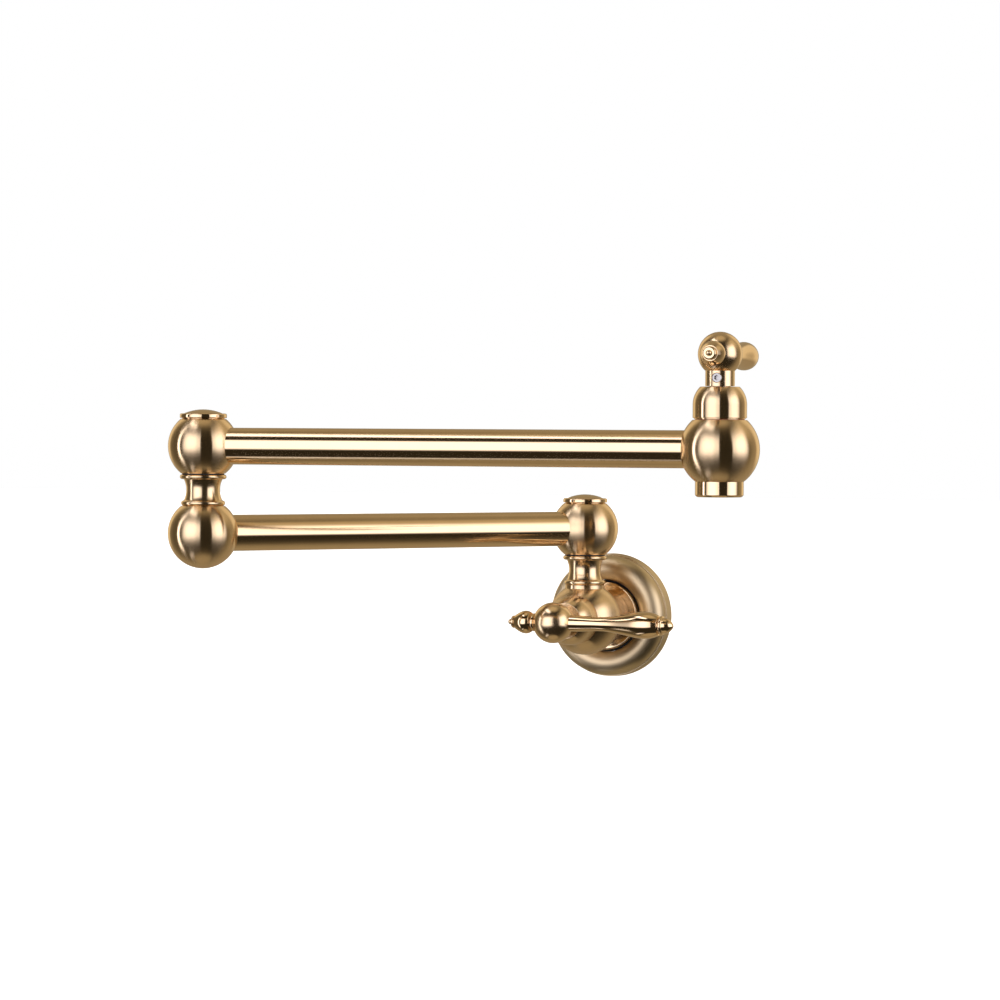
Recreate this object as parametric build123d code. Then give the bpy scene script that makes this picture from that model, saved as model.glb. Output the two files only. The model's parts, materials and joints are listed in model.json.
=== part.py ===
from build123d import *
from math import cos, radians, sin, sqrt
import os

# A double-jointed pot filler tap that hangs on a kitchen wall. Millimetres, +Z up.
# The origin is the centre of the flange on the wall face. The wall is the plane y = 0,
# the tap stands out towards -Y, and +X runs to the right along the wall.

# ---------------------------------------------------------------- driving sizes

# Pose in which the tap is modelled
arm_1_swung_out = 53.0  # degrees from the wall, to the left
arm_2_swung_back = 5.5  # degrees from the wall's plane, leaning back towards it

# Layout
post_out = 46.0  # wall to the post's axis
arm_1_length = 234.0  # post axis to elbow axis
arm_2_length = 275.0  # elbow axis to outlet axis
tube_r = 9.5
tube_wall = 1.2
tube_seat = 11.5  # ball centre to the end of a tube in an arm ball
valve_tube_seat = 12.5  # the same in the outlet body

# Gaps
running_gap = 0.05  # shaft in its bearing, on the radius
thread_gap = 0.04  # screwed pieces, drawn plain, on the radius
solder_gap = 0.03  # tube in its socket, on the radius
ring_gap = 0.1  # rubber ring to the face it seals
face_gap = 0.1  # thrust washer to the ball that slides on it
disc_gap = 0.04  # between the two ceramic discs
clear_gap = 0.3  # handle to bonnet, and other moving faces

# Wall flange, sized along the wall's normal from the wall
flange_r = 34.8
flange_taper = 0.4
flange_band = 7.0
flange_rim_step = 1.1
flange_straight = 2.05
flange_hole_r = 20.3
flange_hole_bite = 1.1  # how far the hole cuts into the half-round
flange_wall = 1.6
flange_foot = 4.0
flange_foot_depth = 3.5
flange_lip_drop = 2.85
gasket_width = 2.0
gasket_depth = 1.2

# Collar that carries the flange
collar_r = 19.1
collar_front = 14.3
collar_back = 3.7
collar_chamfer = 1.0
collar_bevel = 1.7
collar_ring_at = 9.0
collar_ring_r = 0.9
collar_groove_half = 1.1

# Inlet, a half-inch pipe thread
pipe_thread_r = 10.48
inlet_reach = 18.0
inlet_chamfer = 1.0
inlet_bore_r = 7.5
inlet_hex_flats = 22.0
inlet_hex_start = 0.4
inlet_hex_end = 3.4
inlet_tail_r = 10.2
inlet_tail_end = 15.8
inlet_washer_thick = 1.2
shank_r = 14.5
shank_tail_r = 12.0
shank_tail_start = 4.0
shank_step = 13.0
shank_bore_r = 6.5

# Valve balls. Heights run along the headwork's axis from the ball's centre.
valve_ball_r = 20.0
chamber_r = 8.6
chamber_floor = -11.0
chamber_port_r = 5.0
head_thread_start = 8.0
post_boss_r = 10.9
post_boss_top = 18.7
post_port_r = 4.5

# Ceramic headwork
housing_r = 8.5
housing_bore_r = 7.1
housing_foot = -10.6
housing_ceiling = 8.0
housing_window_low = 0.6
housing_window_high = 6.6
housing_window_width = 7.0
head_hex_rise = 0.2  # how much wider the hexagon is across its flats than the thread
head_hex_thick = 4.0
head_gasket_width = 2.0
head_gasket_thick = 1.0
head_neck_r = 6.8
head_neck_top = 30.4
disc_r = 7.0
disc_thick = 3.0
disc_window_inner = 2.3
disc_window_outer = 5.7
disc_window_angle = 78.0
seal_thick = 1.7
seal_inner_r = 4.6
spindle_r = 4.0
spindle_foot_r = 6.8
spindle_collar_r = 6.0
spindle_collar_thick = 2.4
spindle_top = 42.5
spindle_flat = 0.5
tang_width = 3.0
tang_length = 4.2
tang_depth = 1.2
spindle_ring_at = 24.0
spindle_groove_half = 0.9
spindle_groove_depth = 1.2
clip_at = 30.9
clip_thick = 0.8
clip_r = 5.3
clip_mouth = 5.0
clip_groove_depth = 0.5

# Dome bonnet
bonnet_r = 13.5
bonnet_seam = 0.3
bonnet_straight_top = 22.3
bonnet_top_r = 9.8
bonnet_top = 31.2
bonnet_skirt_wall = 0.8
bonnet_hollow_top = 21.0
bonnet_neck_start = 24.0
bonnet_edge = 0.7

# Handle
hub_ball_r = 11.1
hub_rise = 47.4
hub_neck_r = 7.35
hub_bore_top = 43.4
hub_clip_room_r = 5.7
hub_clip_room_top = 33.0
lever_face = 10.2
finial_face = 9.9
grub_r = 2.5
grub_rise = 35.6
grub_socket_flats = 2.5
grub_socket_depth = 2.0
grub_recess = 0.3
lever_stud_r = 3.0
lever_stud_length = 5.0
finial_stud_r = 2.0
finial_stud_length = 4.5

# Lever, measured from the hub's centre along the lever, and the radius there
lever_root_r = 4.4
lever_taper_at = 14.3
lever_waist_at = 28.5
lever_waist_r = 3.65
lever_swell_at = 39.0
lever_swell_r = 4.85
lever_shoulder_at = 43.8
lever_shoulder_r = 6.35
lever_bulb_at = 52.2
lever_bulb_r = 7.5
lever_bulb_end = 60.8
lever_bulb_end_r = 5.3
lever_groove = 0.5
lever_bead = 2.2
lever_bead_r = 5.3
lever_groove_r = 4.6
lever_tip_r = 4.5
lever_cone_r = 3.0
lever_tip = 69.3
lever_nose_r = 0.9

# Finial, the same way on the other side
finial_collar_r = 4.9
finial_collar_end = 12.3
finial_groove = 0.45
finial_groove_r = 4.2
finial_acorn_start_r = 5.2
finial_acorn_at = 15.6
finial_acorn_r = 6.25
finial_acorn_end = 21.6
finial_acorn_end_r = 3.9
finial_small_groove_r = 2.9
finial_bead_end = 23.9
finial_bead_r = 3.4
finial_nose_r = 1.5
finial_tip = 26.2

# Arm balls and swivels. Heights run up from the ball's centre.
ball_r = 18.3
foot_flat_r = 11.5
cap_flat_r = 11.7
bearing_r = 8.0
water_low = -6.0
water_high = 5.0
water_room_r = 9.5
nut_room_r = 9.4
nut_room_floor = 9.0
room_port_r = 5.0  # from the water room to the arm's tube
port_r = 7.6

# Spool neck
neck_ring_r = 12.1
neck_ring_thick = 2.4
neck_shoulder_r = 10.1
neck_waist_r = 8.75
neck_waist_length = 11.0
neck_foot_r = 11.5
neck_foot_thick = 2.9
neck_tenon_r = 8.0
neck_tenon_length = 6.6
neck_bore_r = 4.5
neck_bore_top = 3.2
neck_water_r = 6.4
neck_land = 0.5  # bearing left at each end of the water room
neck_port_r = 2.6
neck_ring_groove_r = 6.5
neck_groove_half = 1.1
neck_ring_section_r = 0.66
neck_ring_low = -10.4
neck_ring_high = 7.0
neck_shoulder_rise = 0.2
stud_r = 4.0
stud_length = 4.2
seal_ring_section = 0.6
thrust_washer_thick = 0.5
thrust_washer_r = 11.0
retaining_washer_r = 8.8
retaining_washer_thick = 1.0
nut_flats = 13.0
nut_thick = 2.8

# Cap
cap_r = 12.2
cap_rim = 2.2
cap_dome = 2.7
cap_skirt_depth = 2.4
cap_skirt_wall = 0.8
cap_edge = 0.7

# Spout collar and aerator. Heights run from the outlet ball's centre.
spout_r = 12.1
spout_length = 7.7
spout_chamfer = 1.0
spout_tenon_r = 9.9
spout_tenon_length = 3.0
spout_bore_r = 8.9
spout_lip_r = 8.4
spout_lip = 1.2
cage_wall = 0.9
cage_floor = 2.6
cage_length = 6.3
cage_hole_r = 0.85
cage_rows = 3
screen_thick = 0.5
screen_hole_r = 0.55
aerator_washer_thick = 1.4
aerator_washer_inner_r = 6.6

# ---------------------------------------------------------------- derived places

valve_face = sqrt(valve_ball_r**2 - bonnet_r**2)
spout_face = sqrt(valve_ball_r**2 - spout_r**2)
foot_face = sqrt(ball_r**2 - foot_flat_r**2)
cap_face = sqrt(ball_r**2 - cap_flat_r**2)
neck_top = -foot_face - face_gap - thrust_washer_thick
neck_ring_under = neck_top - neck_ring_thick
neck_foot_top = neck_ring_under - neck_waist_length
neck_base = neck_foot_top - neck_foot_thick
tube_bore_r = tube_r - tube_wall
disc_fixed_low = chamber_floor + seal_thick
disc_moving_low = disc_fixed_low + disc_thick + disc_gap
spindle_foot_low = disc_moving_low + disc_thick
head_gasket_r = bonnet_r - bonnet_skirt_wall - clear_gap
head_thread_r = head_gasket_r - head_gasket_width
head_hex_flats = 2 * head_thread_r + head_hex_rise
hex_low = valve_face + head_gasket_thick
hex_top = hex_low + head_hex_thick
hub_foot = bonnet_top + clear_gap

arm_1_height = post_boss_top - neck_base
arm_2_height = arm_1_height + foot_face - neck_base
arm_1_heading = 180 + arm_1_swung_out
elbow_x = arm_1_length * cos(radians(arm_1_heading))
elbow_y = arm_1_length * sin(radians(arm_1_heading)) - post_out
outlet_x = elbow_x + arm_2_length * cos(radians(arm_2_swung_back))
outlet_y = elbow_y + arm_2_length * sin(radians(arm_2_swung_back))

# Local frames: +Z out of the wall; +Z up with +X along an arm; and for a valve
# +Z along the headwork, +X along the open lever and +Y towards the side port.
wall = Rot(90, 0, 0)
wall_valve = wall * Pos(0, 0, post_out)
post = Pos(0, -post_out, arm_1_height) * Rot(0, 0, arm_1_heading)
elbow_low = post * Pos(arm_1_length, 0, 0) * Rot(0, 0, 180)
elbow_neck_at = Pos(elbow_x, elbow_y, arm_2_height) * Rot(0, 0, arm_1_heading)
elbow_high = Pos(elbow_x, elbow_y, arm_2_height) * Rot(0, 0, arm_2_swung_back)
outlet_valve = Pos(outlet_x, outlet_y, arm_2_height) * Rot(0, 0, 90 + arm_2_swung_back)

pieces = {}
cut = 1.0  # how far a cutting tool runs past the face it opens


# ---------------------------------------------------------------- shaping helpers


def lathe(*lines):
    """Turn a closed half outline, drawn as (radius, height), about Z."""
    outline = Plane.XZ * make_face(Curve() + list(lines))
    return revolve(outline, Axis.Z)


def bar(radius, low, high):
    """A round bar about Z."""
    return Pos(0, 0, (low + high) / 2) * Cylinder(radius, high - low)


def ring(outer, inner, low, high):
    """A flat-ended tube about Z."""
    return bar(outer, low, high) - bar(inner, low - cut, high + cut)


def hex_bar(flats, low, high):
    """A six-sided bar about Z."""
    section = RegularPolygon(flats / 2, 6, major_radius=False)
    return Pos(0, 0, low) * extrude(section, high - low)


def cut_ball(radius, low_flat_r, high_flat_r):
    """A ball with a flat of the given radius below and above. A radius of 0 leaves it round."""
    low = -sqrt(radius**2 - low_flat_r**2)
    high = sqrt(radius**2 - high_flat_r**2)
    arc = ThreePointArc((low_flat_r, low), (radius, 0), (high_flat_r, high))
    lines = [Line((0, high), (0, low)), arc]
    if low_flat_r > 0:
        lines.append(Line((0, low), (low_flat_r, low)))
    if high_flat_r > 0:
        lines.append(Line((high_flat_r, high), (0, high)))
    return lathe(*lines)


def o_ring(centre_r, section_r, height):
    return Pos(0, 0, height) * Torus(centre_r, section_r)


def bead(radius, low, high):
    """A disc whose rim is rounded over its whole thickness."""
    half = (high - low) / 2
    middle = (low + high) / 2
    straight = radius - half
    return lathe(
        Line((0, high), (0, low)),
        Line((0, low), (straight, low)),
        ThreePointArc((straight, low), (radius, middle), (straight, high)),
        Line((straight, high), (0, high)),
    )


def along_x(shape):
    """Lay a piece that was turned about Z along +X."""
    return Rot(0, 90, 0) * shape


def along_y(shape):
    """Lay a piece that was turned about Z along +Y."""
    return Rot(-90, 0, 0) * shape


def windows(inner, outer, low, high):
    """Two opposite sectors, cut through the discs and the spindle's foot."""
    half = disc_window_angle / 2
    section = Plane.XZ * Pos((inner + outer) / 2, (low + high) / 2) * Rectangle(outer - inner, high - low)
    sector = Rot(0, 0, -half) * revolve(section, Axis.Z, disc_window_angle)
    return Rot(0, 0, 90) * sector + Rot(0, 0, -90) * sector


def hole_rows(spacing, rows):
    """Places of one hole in the middle and rings of 6, 12 and so on about it."""
    places = [Pos(0, 0, 0)]
    for row in range(1, rows + 1):
        places += PolarLocations(spacing * row, 6 * row).locations
    return places


# ---------------------------------------------------------------- wall mounting


def wall_flange():
    """A hollow half-round ring on a shallow band, with a lip round its hole."""
    rim_r = flange_r - flange_rim_step
    section_r = (rim_r - flange_hole_r + flange_hole_bite) / 2
    centre_r = rim_r - section_r
    centre_h = flange_band + flange_straight
    crown = centre_h + section_r
    inner_section = section_r - flange_wall
    lip_r = flange_hole_r + flange_wall
    hole_edge = centre_h + sqrt(section_r**2 - (centre_r - flange_hole_r) ** 2)
    lip_edge = centre_h + sqrt(inner_section**2 - (centre_r - lip_r) ** 2)
    band_r = flange_r - flange_taper
    hollow_r = centre_r + inner_section
    lip_low = centre_h - flange_lip_drop
    outer_arc = ThreePointArc((rim_r, centre_h), (centre_r, crown), (flange_hole_r, hole_edge))
    inner_arc = ThreePointArc((lip_r, lip_edge), (centre_r, crown - flange_wall), (hollow_r, centre_h))
    shell = lathe(
        Line((flange_r, 0), (band_r, flange_band)),
        Line((band_r, flange_band), (rim_r, flange_band)),
        Line((rim_r, flange_band), (rim_r, centre_h)),
        outer_arc,
        Polyline((flange_hole_r, hole_edge), (flange_hole_r, lip_low), (lip_r, lip_low), (lip_r, lip_edge)),
        inner_arc,
        Polyline(
            (hollow_r, centre_h),
            (hollow_r, flange_foot_depth),
            (flange_r - flange_foot, flange_foot_depth),
            (flange_r - flange_foot, 0),
            (flange_r, 0),
        ),
    )
    groove_outer = flange_r - (flange_foot - gasket_width) / 2
    return shell - ring(groove_outer, groove_outer - gasket_width, -cut, gasket_depth)


def flange_gasket():
    outer = flange_r - (flange_foot - gasket_width) / 2 - solder_gap
    inner = outer - gasket_width + 2 * solder_gap
    return ring(outer, inner, 0, gasket_depth - solder_gap)


def shank_collar():
    """The ring on the shank that fills the flange's hole."""
    profile = lathe(
        Polyline(
            (0, collar_back),
            (collar_r, collar_back),
            (collar_r, collar_front - collar_chamfer),
            (collar_r - collar_bevel, collar_front),
            (0, collar_front),
            (0, collar_back),
        )
    )
    groove_r = flange_hole_r - ring_gap - 2 * collar_ring_r - ring_gap
    groove = ring(
        collar_r + cut, groove_r, collar_ring_at - collar_groove_half, collar_ring_at + collar_groove_half
    )
    tail_hole = bar(shank_tail_r + thread_gap, collar_back - cut, shank_step)
    shank_hole = bar(shank_r + solder_gap, shank_step, collar_front + cut)
    return profile - groove - tail_hole - shank_hole


def flange_o_ring():
    return o_ring(flange_hole_r - ring_gap - collar_ring_r, collar_ring_r, collar_ring_at)


def inlet_nipple():
    """The threaded stub that screws into the pipe in the wall."""
    thread = bar(pipe_thread_r, -inlet_reach, inlet_hex_start)
    thread = chamfer(thread.edges().group_by(Axis.Z)[0], inlet_chamfer)
    grip = hex_bar(inlet_hex_flats, inlet_hex_start, inlet_hex_end)
    tail = bar(inlet_tail_r, inlet_hex_end, inlet_tail_end)
    return thread + grip + tail - bar(inlet_bore_r, -inlet_reach - cut, inlet_tail_end + cut)


def inlet_washer():
    outer = inlet_tail_r - thread_gap
    return ring(outer, shank_bore_r + clear_gap, inlet_tail_end, inlet_tail_end + inlet_washer_thick)


# ---------------------------------------------------------------- valve bodies


def valve_ball(axial_flat_r):
    """The ball shared by both valves, with the chamber and thread for the headwork."""
    body = cut_ball(valve_ball_r, axial_flat_r, bonnet_r)
    body -= bar(chamber_r, chamber_floor, valve_face)
    body -= bar(head_thread_r + thread_gap, head_thread_start, valve_face + cut)
    return body


def valve_body():
    """The wall valve: shank behind, seat for the post's neck on top."""
    body = valve_ball(0)
    body += bar(shank_r, shank_step - post_out, chamber_floor)
    body += bar(shank_tail_r, shank_tail_start - post_out, shank_step - post_out)
    body += along_y(bar(post_boss_r, valve_ball_r / 2, post_boss_top))
    body -= along_y(bar(post_boss_r, post_boss_top, valve_ball_r + cut))
    thread_end = inlet_tail_end + inlet_washer_thick - post_out
    tenon_floor = post_boss_top - neck_tenon_length - clear_gap
    body -= bar(head_thread_r + thread_gap, head_thread_start, valve_face + cut)
    body -= bar(inlet_tail_r + thread_gap, shank_tail_start - post_out - cut, thread_end)
    body -= bar(shank_bore_r, thread_end - cut, chamber_floor - seal_thick)
    body -= bar(chamber_port_r, -post_out, chamber_floor + cut)
    body -= along_y(bar(neck_tenon_r + thread_gap, tenon_floor, post_boss_top + cut))
    body -= along_y(bar(post_port_r, 0, post_boss_top))
    return body - neck_seal_seat(post_boss_top)


def neck_seal_seat(face):
    """The bevel for the ring under a neck, in a seat along +Y whose face is at this height."""
    depth = 2 * seal_ring_section + ring_gap
    return along_y(ring(neck_tenon_r + depth, neck_tenon_r - cut, face - depth, face + cut))


def outlet_body():
    """The outlet valve: socket for the arm's tube at its side, spout thread below."""
    body = valve_ball(spout_r)
    body -= along_y(bar(tube_r + solder_gap, valve_tube_seat, valve_ball_r + cut))
    body -= along_y(bar(port_r, 0, valve_tube_seat + cut))
    body -= bar(spout_tenon_r + thread_gap, -spout_face - cut, spout_tenon_length - spout_face + thread_gap)
    body -= bar(chamber_port_r, -spout_face, chamber_floor + cut)
    return body


def bonnet():
    """The dome that hides the headwork and screws down on its neck."""
    rise = bonnet_top - bonnet_straight_top
    fall = bonnet_r - bonnet_top_r
    curve_r = (rise**2 + fall**2) / (2 * fall)
    middle = bonnet_straight_top + rise / 2
    middle_r = bonnet_r - curve_r + sqrt(curve_r**2 - (rise / 2) ** 2)
    base = valve_face + bonnet_seam
    dome = lathe(
        Polyline((0, bonnet_top), (0, base), (bonnet_r, base), (bonnet_r, bonnet_straight_top)),
        ThreePointArc((bonnet_r, bonnet_straight_top), (middle_r, middle), (bonnet_top_r, bonnet_top)),
        Line((bonnet_top_r, bonnet_top), (0, bonnet_top)),
    )
    dome = fillet(dome.edges().group_by(Axis.Z)[-1], bonnet_edge)
    hollow_r = bonnet_r - bonnet_skirt_wall
    hollow = lathe(
        Polyline(
            (0, valve_face - cut),
            (hollow_r, valve_face - cut),
            (hollow_r, bonnet_hollow_top),
            (head_neck_r, bonnet_neck_start),
            (0, bonnet_neck_start),
            (0, valve_face - cut),
        )
    )
    return dome - hollow - bar(head_neck_r + thread_gap, valve_face, bonnet_top + cut)


# ---------------------------------------------------------------- headwork


def cartridge_housing():
    """The headwork's brass body: skirt round the discs, thread, hexagon and neck."""
    housing = bar(housing_r, housing_foot, head_thread_start)
    housing += bar(head_thread_r, head_thread_start, hex_low)
    housing += hex_bar(head_hex_flats, hex_low, hex_top)
    housing += bar(head_neck_r, hex_top, head_neck_top)
    housing -= bar(housing_bore_r, housing_foot - cut, housing_ceiling)
    housing -= bar(spindle_r + running_gap, 0, head_neck_top + cut)
    window_height = housing_window_high - housing_window_low
    window = Box(4 * housing_r, housing_window_width, window_height)
    window = Pos(0, 0, housing_window_low + window_height / 2) * window
    return housing - window - Rot(0, 0, 90) * window


def head_gasket():
    return ring(head_gasket_r, head_thread_r + thread_gap, valve_face, hex_low)


def fixed_disc():
    disc = bar(disc_r, disc_fixed_low, disc_fixed_low + disc_thick)
    return disc - windows(disc_window_inner, disc_window_outer, disc_fixed_low - cut, 0)


def tang(gap):
    """The key on the spindle's foot, or with a gap the slot for it in the moving disc."""
    height = tang_depth + gap
    key = Box(2 * tang_length + 2 * gap, tang_width + 2 * gap, height)
    return Pos(0, 0, spindle_foot_low - height / 2) * key


def moving_disc():
    disc = bar(disc_r, disc_moving_low, spindle_foot_low)
    disc -= windows(disc_window_inner, disc_window_outer, disc_moving_low - cut, 0)
    return disc - tang(thread_gap)


def seat_seal():
    return ring(disc_r, seal_inner_r, chamber_floor, disc_fixed_low)


def spindle():
    """The shaft from the handle to the moving disc."""
    foot_top = housing_window_low
    collar_top = housing_ceiling - clear_gap
    foot = bar(spindle_foot_r, spindle_foot_low, foot_top)
    foot -= windows(disc_window_inner, spindle_foot_r + cut, spindle_foot_low - cut, foot_top + cut)
    shaft = bar(spindle_r, spindle_foot_low, spindle_top)
    collar = bar(spindle_collar_r, collar_top - spindle_collar_thick, collar_top)
    part = foot + shaft + collar + tang(0)
    groove_r = spindle_r - spindle_groove_depth
    groove_low = spindle_ring_at - spindle_groove_half
    groove_top = spindle_ring_at + spindle_groove_half
    part -= ring(spindle_r + cut, groove_r, groove_low, groove_top)
    part -= ring(spindle_r + cut, spindle_r - clip_groove_depth, clip_at, clip_at + clip_thick)
    flat_low = hub_clip_room_top
    flat = Box(spindle_r, 4 * spindle_r, spindle_top - flat_low + cut)
    flat_x = -spindle_r + spindle_flat - spindle_r / 2
    return part - Pos(flat_x, 0, (spindle_top + flat_low + cut) / 2) * flat


def spindle_o_ring():
    section_r = spindle_groove_depth / 2
    return o_ring(spindle_r - section_r, section_r, spindle_ring_at)


def spindle_clip():
    """An open ring that snaps into the spindle's groove above the neck."""
    inner = spindle_r - clip_groove_depth + running_gap
    clip = ring(clip_r, inner, clip_at + running_gap, clip_at + clip_thick - running_gap)
    mouth = Box(2 * clip_r, clip_mouth, 2 * clip_thick)
    return clip - Pos(clip_r, 0, clip_at) * mouth


# ---------------------------------------------------------------- handle


def handle_hub():
    """A ball on a short neck, spot-faced for the lever and the finial."""
    ball = Pos(0, 0, hub_rise) * Sphere(hub_ball_r)
    span = lever_face + finial_face
    keep = Box(span, 4 * hub_ball_r, 4 * hub_ball_r)
    ball &= Pos((lever_face - finial_face) / 2, 0, hub_rise) * keep
    hub = ball + bar(hub_neck_r, hub_foot, hub_rise)
    hub -= bar(spindle_r + thread_gap, hub_foot - cut, hub_bore_top)
    hub -= bar(hub_clip_room_r, hub_foot - cut, hub_clip_room_top)
    hub -= Pos(0, 0, hub_rise) * along_x(bar(lever_stud_r, lever_face - lever_stud_length, hub_ball_r))
    stud_start = finial_face - finial_stud_length
    hub -= Pos(0, 0, hub_rise) * along_x(bar(finial_stud_r, -hub_ball_r, -stud_start))
    hub -= Pos(0, 0, grub_rise) * along_x(bar(grub_r + thread_gap, -2 * hub_neck_r, 0))
    return hub


def grub_screw():
    """The hexagon-socket screw that holds the hub on the spindle's flat."""
    outer = hub_neck_r - grub_recess
    inner = spindle_r - spindle_flat + thread_gap
    screw = bar(grub_r, inner, outer)
    screw = chamfer(screw.edges().group_by(Axis.Z)[-1], grub_recess)
    screw -= hex_bar(grub_socket_flats, outer - grub_socket_depth, outer + cut)
    return Pos(0, 0, grub_rise) * Rot(0, -90, 0) * screw


def lever():
    """A slim waisted bar that swells to a bulb and ends in a bead and a small cone."""
    stud_end = lever_face - lever_stud_length + thread_gap
    bead_start = lever_bulb_end + lever_groove
    bead_end = bead_start + lever_bead
    tip_start = bead_end + lever_groove
    body = Spline(
        [
            (lever_root_r, lever_face),
            (lever_root_r, lever_taper_at),
            (lever_waist_r, lever_waist_at),
            (lever_swell_r, lever_swell_at),
            (lever_shoulder_r, lever_shoulder_at),
            (lever_bulb_r, lever_bulb_at),
            (lever_bulb_end_r, lever_bulb_end),
        ],
        tangents=[(0, 1), (-0.6, 1)],
    )
    tip = ThreePointArc(
        (lever_tip_r, tip_start),
        (lever_cone_r, (tip_start + lever_tip) / 2 + lever_nose_r / 2),
        (lever_nose_r, lever_tip - lever_nose_r / 2),
    )
    part = lathe(
        Line((0, lever_face), (lever_root_r, lever_face)),
        body,
        Line((lever_bulb_end_r, lever_bulb_end), (lever_groove_r, lever_bulb_end)),
        Line((lever_groove_r, lever_bulb_end), (lever_groove_r, tip_start)),
        Line((lever_groove_r, tip_start), (lever_tip_r, tip_start)),
        tip,
        Line((lever_nose_r, lever_tip - lever_nose_r / 2), (0, lever_tip)),
        Line((0, lever_tip), (0, lever_face)),
    )
    part += bead(lever_bead_r, bead_start, bead_end)
    part += bar(lever_stud_r - thread_gap, stud_end, lever_face)
    return Pos(0, 0, hub_rise) * along_x(part)


def finial():
    """The acorn on the other side: collar, acorn, bead and a small round nose."""
    stud_end = finial_face - finial_stud_length + thread_gap
    acorn_start = finial_collar_end + finial_groove
    bead_start = finial_acorn_end + finial_groove
    nose_centre = finial_tip - finial_nose_r
    acorn = Spline(
        [
            (finial_acorn_start_r, acorn_start),
            (finial_acorn_r, finial_acorn_at),
            (finial_acorn_end_r, finial_acorn_end),
        ],
        tangents=[(0.9, 1), (-0.6, 1)],
    )
    part = lathe(
        Line((0, finial_collar_end), (finial_groove_r, finial_collar_end)),
        Line((finial_groove_r, finial_collar_end), (finial_groove_r, acorn_start)),
        Line((finial_groove_r, acorn_start), (finial_acorn_start_r, acorn_start)),
        acorn,
        Line((finial_acorn_end_r, finial_acorn_end), (finial_small_groove_r, finial_acorn_end)),
        Line((finial_small_groove_r, finial_acorn_end), (finial_small_groove_r, bead_start)),
        Line((finial_small_groove_r, bead_start), (0, bead_start)),
        Line((0, bead_start), (0, finial_collar_end)),
    )
    part += bead(finial_collar_r, finial_face, finial_collar_end)
    part += bead(finial_bead_r, bead_start, finial_bead_end)
    part += Pos(0, 0, nose_centre) * Sphere(finial_nose_r)
    part += bar(finial_stud_r - thread_gap, stud_end, finial_face)
    return Pos(0, 0, hub_rise) * Rot(0, -90, 0) * part


# ---------------------------------------------------------------- arm balls and swivels


def swivel_ball():
    """The ball that turns on a neck: bearing bores, water room, nut room, tube socket."""
    ball = cut_ball(ball_r, foot_flat_r, cap_flat_r)
    ball -= bar(bearing_r, -foot_face - cut, nut_room_floor + cut)
    ball -= bar(water_room_r, water_low, water_high)
    ball -= bar(nut_room_r, nut_room_floor, cap_face + cut)
    ball -= along_x(bar(tube_r + solder_gap, tube_seat, ball_r + cut))
    ball -= along_x(bar(room_port_r, 0, tube_seat + cut))
    return ball


def elbow_ball():
    """The round ball at the inner arm's end, bored for the tube and the elbow's neck."""
    ball = cut_ball(ball_r, 0, foot_flat_r)
    tenon_floor = foot_face - neck_tenon_length - clear_gap
    ball -= bar(neck_tenon_r + thread_gap, tenon_floor, foot_face + cut)
    ball -= along_x(bar(tube_r + solder_gap, tube_seat, ball_r + cut))
    ball -= along_x(bar(port_r, 0, tube_seat + cut))
    ball -= bar(port_r, 0, tenon_floor + cut)
    ball -= Sphere(port_r)
    depth = 2 * seal_ring_section + ring_gap
    return ball - ring(neck_tenon_r + depth, neck_tenon_r - cut, foot_face - depth, foot_face + cut)


def spool_neck():
    """The waisted neck with its tenon below and the hollow spigot that the ball turns on."""
    middle = (neck_ring_under + neck_foot_top) / 2
    waist = lathe(
        Polyline((0, neck_ring_under), (neck_shoulder_r, neck_ring_under)),
        ThreePointArc(
            (neck_shoulder_r, neck_ring_under), (neck_waist_r, middle), (neck_shoulder_r, neck_foot_top)
        ),
        Polyline((neck_shoulder_r, neck_foot_top), (0, neck_foot_top), (0, neck_ring_under)),
    )
    spigot_top = nut_room_floor + neck_shoulder_rise
    neck = waist + bead(neck_ring_r, neck_ring_under, neck_top)
    neck += bead(neck_foot_r, neck_base, neck_foot_top)
    neck += bar(neck_tenon_r, neck_base - neck_tenon_length, neck_base)
    neck += bar(bearing_r - running_gap, neck_top, spigot_top)
    neck += bar(stud_r, spigot_top, spigot_top + stud_length)
    neck -= bar(neck_bore_r, neck_base - neck_tenon_length - cut, neck_bore_top)
    neck -= ring(bearing_r + cut, neck_water_r, water_low + neck_land, water_high - neck_land)
    for height in (neck_ring_low, neck_ring_high):
        neck -= ring(
            bearing_r + cut, neck_ring_groove_r, height - neck_groove_half, height + neck_groove_half
        )
    drill = bar(neck_port_r, -bearing_r - cut, bearing_r + cut)
    return neck - along_x(drill) - along_y(drill)


def neck_seal():
    """The ring squeezed between a neck's foot and its seat."""
    centre_r = neck_tenon_r + seal_ring_section + ring_gap / 2
    return o_ring(centre_r, seal_ring_section - ring_gap / 2, neck_base - seal_ring_section - ring_gap / 2)


def thrust_washer():
    return ring(thrust_washer_r, bearing_r + ring_gap, neck_top, neck_top + thrust_washer_thick)


def swivel_o_rings():
    centre_r = bearing_r - ring_gap - neck_ring_section_r
    low = o_ring(centre_r, neck_ring_section_r, neck_ring_low)
    high = o_ring(centre_r, neck_ring_section_r, neck_ring_high)
    return Compound(children=[low, high])


def retaining_washer():
    low = nut_room_floor + neck_shoulder_rise
    return ring(retaining_washer_r, stud_r + thread_gap, low, low + retaining_washer_thick)


def retaining_nut():
    low = nut_room_floor + neck_shoulder_rise + retaining_washer_thick
    top = low + nut_thick
    return hex_bar(nut_flats, low, top) - bar(stud_r + thread_gap, low - cut, top + cut)


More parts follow.
